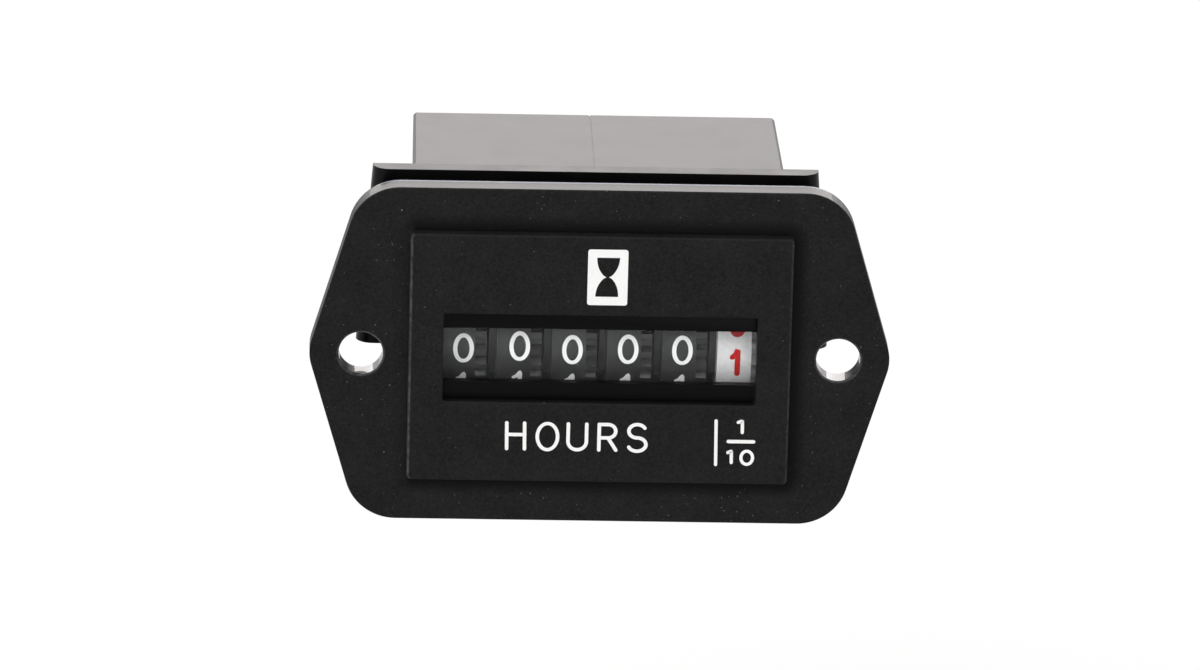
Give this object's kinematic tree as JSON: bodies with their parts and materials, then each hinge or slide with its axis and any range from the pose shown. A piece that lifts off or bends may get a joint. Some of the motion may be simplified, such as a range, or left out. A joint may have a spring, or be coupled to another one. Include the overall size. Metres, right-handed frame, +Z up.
{
  "type": "panel hour meter",
  "caption": "Panel hour meter with a two-hole flange, number wheels with carry pinions behind a window, a step motor train, tab terminals and a slide-on clip.",
  "frame": {"origin": "midway between the mounting holes, on the back face of the flange", "axes": "+X right seen from the front, +Y back through the panel, +Z up"},
  "size_m": [0.0618, 0.0468, 0.0376],
  "materials": {
    "bezel_plastic": "fine moulded grain",
    "lens_clear": "clear polished",
    "case_plastic": "smooth moulded",
    "clip_plastic": "smooth moulded",
    "tab_brass": "bright stamped",
    "frame_plastic": "moulded",
    "bridge_steel": "stamped",
    "shaft_steel": "ground",
    "wheel_light": "moulded",
    "wheel_dark": "moulded",
    "pinion_plastic": "moulded",
    "gear_plastic": "moulded",
    "magnet_grey": "sintered",
    "stator_steel": "stamped",
    "bobbin_plastic": "moulded",
    "winding_copper": "enamelled wire",
    "pin_tinned": "tinned",
    "board_green": "coated laminate",
    "chip_black": "moulded",
    "can_metal": "drawn can",
    "capacitor_sleeve": "shrunk sleeve",
    "resistor_body": "coated"
  },
  "bodies": {
    "base": {"front_bezel": "bezel_plastic", "lens": "lens_clear", "case": "case_plastic", "terminal_left": "tab_brass", "terminal_right": "tab_brass", "counter_frame": "frame_plastic", "train_bridge": "bridge_steel", "wheel_shaft": "shaft_steel", "pinion_shaft": "shaft_steel", "stator": "stator_steel", "coil_bobbin": "bobbin_plastic", "coil_winding": "winding_copper", "coil_pins": "pin_tinned", "circuit_board": "board_green", "driver_chip": "chip_black", "quartz_crystal": "can_metal", "smoothing_capacitor": "capacitor_sleeve", "bridge_rectifier": "chip_black", "dropping_resistor": "resistor_body"},
    "clip": {"mounting_clip": "clip_plastic"},
    "tenths_wheel": {"wheel_tenths": "wheel_light"},
    "units_wheel": {"wheel_units": "wheel_dark"},
    "tens_wheel": {"wheel_tens": "wheel_dark"},
    "hundreds_wheel": {"wheel_hundreds": "wheel_dark"},
    "thousands_wheel": {"wheel_thousands": "wheel_dark"},
    "ten_thousands_wheel": {"wheel_ten_thousands": "wheel_dark"},
    "pinion_1": {"carry_pinion_1": "pinion_plastic"},
    "pinion_2": {"carry_pinion_2": "pinion_plastic"},
    "pinion_3": {"carry_pinion_3": "pinion_plastic"},
    "pinion_4": {"carry_pinion_4": "pinion_plastic"},
    "pinion_5": {"carry_pinion_5": "pinion_plastic"},
    "output": {"output_arbor": "gear_plastic"},
    "middle": {"middle_arbor": "gear_plastic"},
    "rotor": {"rotor_arbor": "gear_plastic", "rotor_magnet": "magnet_grey"}
  },
  "joints": [
    {"name": "clip_lift", "type": "slide", "parent": "base", "child": "clip", "axis": [0, 0, 1], "range_m": [0, 0.02]},
    {"name": "tenths_turn", "type": "hinge", "parent": "base", "child": "tenths_wheel", "pos_m": [0, 0.008, 0], "axis": [-1, 0, 0], "continuous": true},
    {"name": "units_turn", "type": "hinge", "parent": "base", "child": "units_wheel", "pos_m": [0, 0.008, 0], "axis": [-1, 0, 0], "continuous": true},
    {"name": "tens_turn", "type": "hinge", "parent": "base", "child": "tens_wheel", "pos_m": [0, 0.008, 0], "axis": [-1, 0, 0], "continuous": true},
    {"name": "hundreds_turn", "type": "hinge", "parent": "base", "child": "hundreds_wheel", "pos_m": [0, 0.008, 0], "axis": [-1, 0, 0], "continuous": true},
    {"name": "thousands_turn", "type": "hinge", "parent": "base", "child": "thousands_wheel", "pos_m": [0, 0.008, 0], "axis": [-1, 0, 0], "continuous": true},
    {"name": "ten_thousands_turn", "type": "hinge", "parent": "base", "child": "ten_thousands_wheel", "pos_m": [0, 0.008, 0], "axis": [-1, 0, 0], "continuous": true},
    {"name": "pinion_1_turn", "type": "hinge", "parent": "base", "child": "pinion_1", "pos_m": [0, 0.01017, 0.00811], "axis": [-1, 0, 0], "continuous": true},
    {"name": "pinion_2_turn", "type": "hinge", "parent": "base", "child": "pinion_2", "pos_m": [0, 0.01017, 0.00811], "axis": [-1, 0, 0], "continuous": true},
    {"name": "pinion_3_turn", "type": "hinge", "parent": "base", "child": "pinion_3", "pos_m": [0, 0.01017, 0.00811], "axis": [-1, 0, 0], "continuous": true},
    {"name": "pinion_4_turn", "type": "hinge", "parent": "base", "child": "pinion_4", "pos_m": [0, 0.01017, 0.00811], "axis": [-1, 0, 0], "continuous": true},
    {"name": "pinion_5_turn", "type": "hinge", "parent": "base", "child": "pinion_5", "pos_m": [0, 0.01017, 0.00811], "axis": [-1, 0, 0], "continuous": true},
    {"name": "output_turn", "type": "hinge", "parent": "base", "child": "output", "pos_m": [0, 0.0212, 0], "axis": [-1, 0, 0], "continuous": true},
    {"name": "middle_turn", "type": "hinge", "parent": "base", "child": "middle", "pos_m": [0, 0.0212, 0.0064], "axis": [-1, 0, 0], "continuous": true},
    {"name": "rotor_turn", "type": "hinge", "parent": "base", "child": "rotor", "pos_m": [0, 0.02674, 0.0032], "axis": [-1, 0, 0], "continuous": true}
  ],
  "couplings": [
    {"joint": "units_turn", "follows": "tenths_turn", "ratio": 0.1},
    {"joint": "tens_turn", "follows": "tenths_turn", "ratio": 0.01},
    {"joint": "hundreds_turn", "follows": "tenths_turn", "ratio": 0.001},
    {"joint": "thousands_turn", "follows": "tenths_turn", "ratio": 0.0001},
    {"joint": "ten_thousands_turn", "follows": "tenths_turn", "ratio": 0.00001},
    {"joint": "pinion_1_turn", "follows": "tenths_turn", "ratio": -0.25},
    {"joint": "pinion_2_turn", "follows": "tenths_turn", "ratio": -0.025},
    {"joint": "pinion_3_turn", "follows": "tenths_turn", "ratio": -0.0025},
    {"joint": "pinion_4_turn", "follows": "tenths_turn", "ratio": -0.00025},
    {"joint": "pinion_5_turn", "follows": "tenths_turn", "ratio": -0.000025},
    {"joint": "output_turn", "follows": "tenths_turn", "ratio": -0.83333},
    {"joint": "middle_turn", "follows": "tenths_turn", "ratio": 2.5},
    {"joint": "rotor_turn", "follows": "tenths_turn", "ratio": -7.5}
  ]
}
